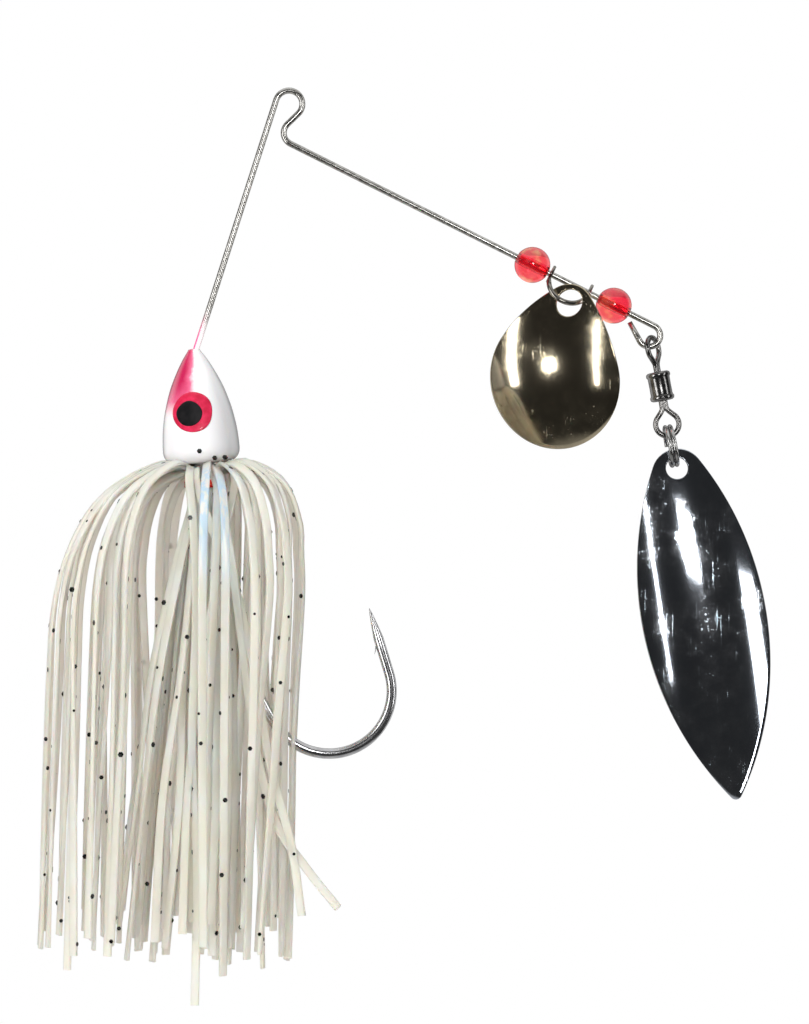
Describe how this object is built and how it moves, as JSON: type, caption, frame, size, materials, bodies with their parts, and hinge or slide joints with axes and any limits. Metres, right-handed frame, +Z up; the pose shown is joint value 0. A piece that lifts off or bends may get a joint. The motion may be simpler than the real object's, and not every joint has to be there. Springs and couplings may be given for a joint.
{
  "type": "spinnerbait",
  "caption": "Spinnerbait with a bent wire arm, skirted lead-head hook, two red beads, a clevis-hung round blade and a long blade on a barrel swivel.",
  "frame": {"origin": "middle of the line-tie loop at the top of the wire", "axes": "+X towards the blades, +Y to the far side, +Z up; the wire lies in the X-Z plane and the lure hangs from its line tie"},
  "size_m": [0.1191, 0.0361, 0.1499],
  "materials": {
    "wire": "polished",
    "head_paint": "gloss",
    "hook_steel": "polished",
    "iris_paint": "gloss",
    "pupil_paint": "gloss",
    "band": "satin",
    "silicone": "satin",
    "bead_acrylic": "gloss",
    "clevis_metal": "polished",
    "gold_blade": "polished",
    "swivel_metal": "polished",
    "ring_steel": "polished",
    "nickel_blade": "mirror"
  },
  "bodies": {
    "root": {"wire_frame": "wire", "jig_head": "head_paint", "hook": "hook_steel", "iris_near": "iris_paint", "iris_far": "iris_paint", "pupil_near": "pupil_paint", "pupil_far": "pupil_paint", "skirt_band": "band", "skirt_front": "silicone", "skirt_back": "silicone", "skirt_left": "silicone", "skirt_right": "silicone"},
    "front_bead": {"front_bead": "bead_acrylic"},
    "clevis": {"clevis": "clevis_metal"},
    "colorado_blade": {"colorado_blade": "gold_blade"},
    "rear_bead": {"rear_bead": "bead_acrylic"},
    "swivel_upper_eye": {"swivel_upper_eye": "swivel_metal"},
    "swivel_barrel": {"swivel_barrel": "swivel_metal"},
    "swivel_lower_eye": {"swivel_lower_eye": "swivel_metal"},
    "split_ring": {"split_ring": "ring_steel"},
    "willow_blade": {"willow_blade": "nickel_blade"}
  },
  "joints": [
    {"name": "bead_slide", "type": "slide", "parent": "root", "child": "front_bead", "axis": [-0.8942, 0, 0.4478], "range_m": [0, 0.038]},
    {"name": "clevis_spin", "type": "hinge", "parent": "front_bead", "child": "clevis", "pos_m": [0.04003, 0, -0.02647], "axis": [0.8942, 0, -0.4478], "continuous": true},
    {"name": "round_blade_trail", "type": "hinge", "parent": "clevis", "child": "colorado_blade", "pos_m": [0.04608, -0.00015, -0.02979], "axis": [0.2239, -0.866, 0.4471], "range_deg": [-6, 12]},
    {"name": "rear_bead_spin", "type": "hinge", "parent": "root", "child": "rear_bead", "pos_m": [0.05341, 0, -0.03317], "axis": [0.8942, 0, -0.4478], "continuous": true},
    {"name": "swivel_swing", "type": "hinge", "parent": "root", "child": "swivel_upper_eye", "pos_m": [0.05925, 0, -0.03811], "axis": [0, -1, 0], "range_deg": [-15, 50]},
    {"name": "barrel_spin", "type": "hinge", "parent": "swivel_upper_eye", "child": "swivel_barrel", "pos_m": [0.06105, 0, -0.04644], "axis": [0.184, 0, -0.9829], "continuous": true},
    {"name": "lower_eye_spin", "type": "hinge", "parent": "swivel_barrel", "child": "swivel_lower_eye", "pos_m": [0.06222, 0, -0.05269], "axis": [0.184, 0, -0.9829], "continuous": true},
    {"name": "ring_swing", "type": "hinge", "parent": "swivel_lower_eye", "child": "split_ring", "pos_m": [0.06257, 0, -0.05457], "axis": [0.9829, 0, 0.184], "range_deg": [-45, 45]},
    {"name": "long_blade_swing", "type": "hinge", "parent": "split_ring", "child": "willow_blade", "pos_m": [0.06342, 0, -0.0594], "axis": [0, -1, 0], "range_deg": [-30, 35]}
  ]
}
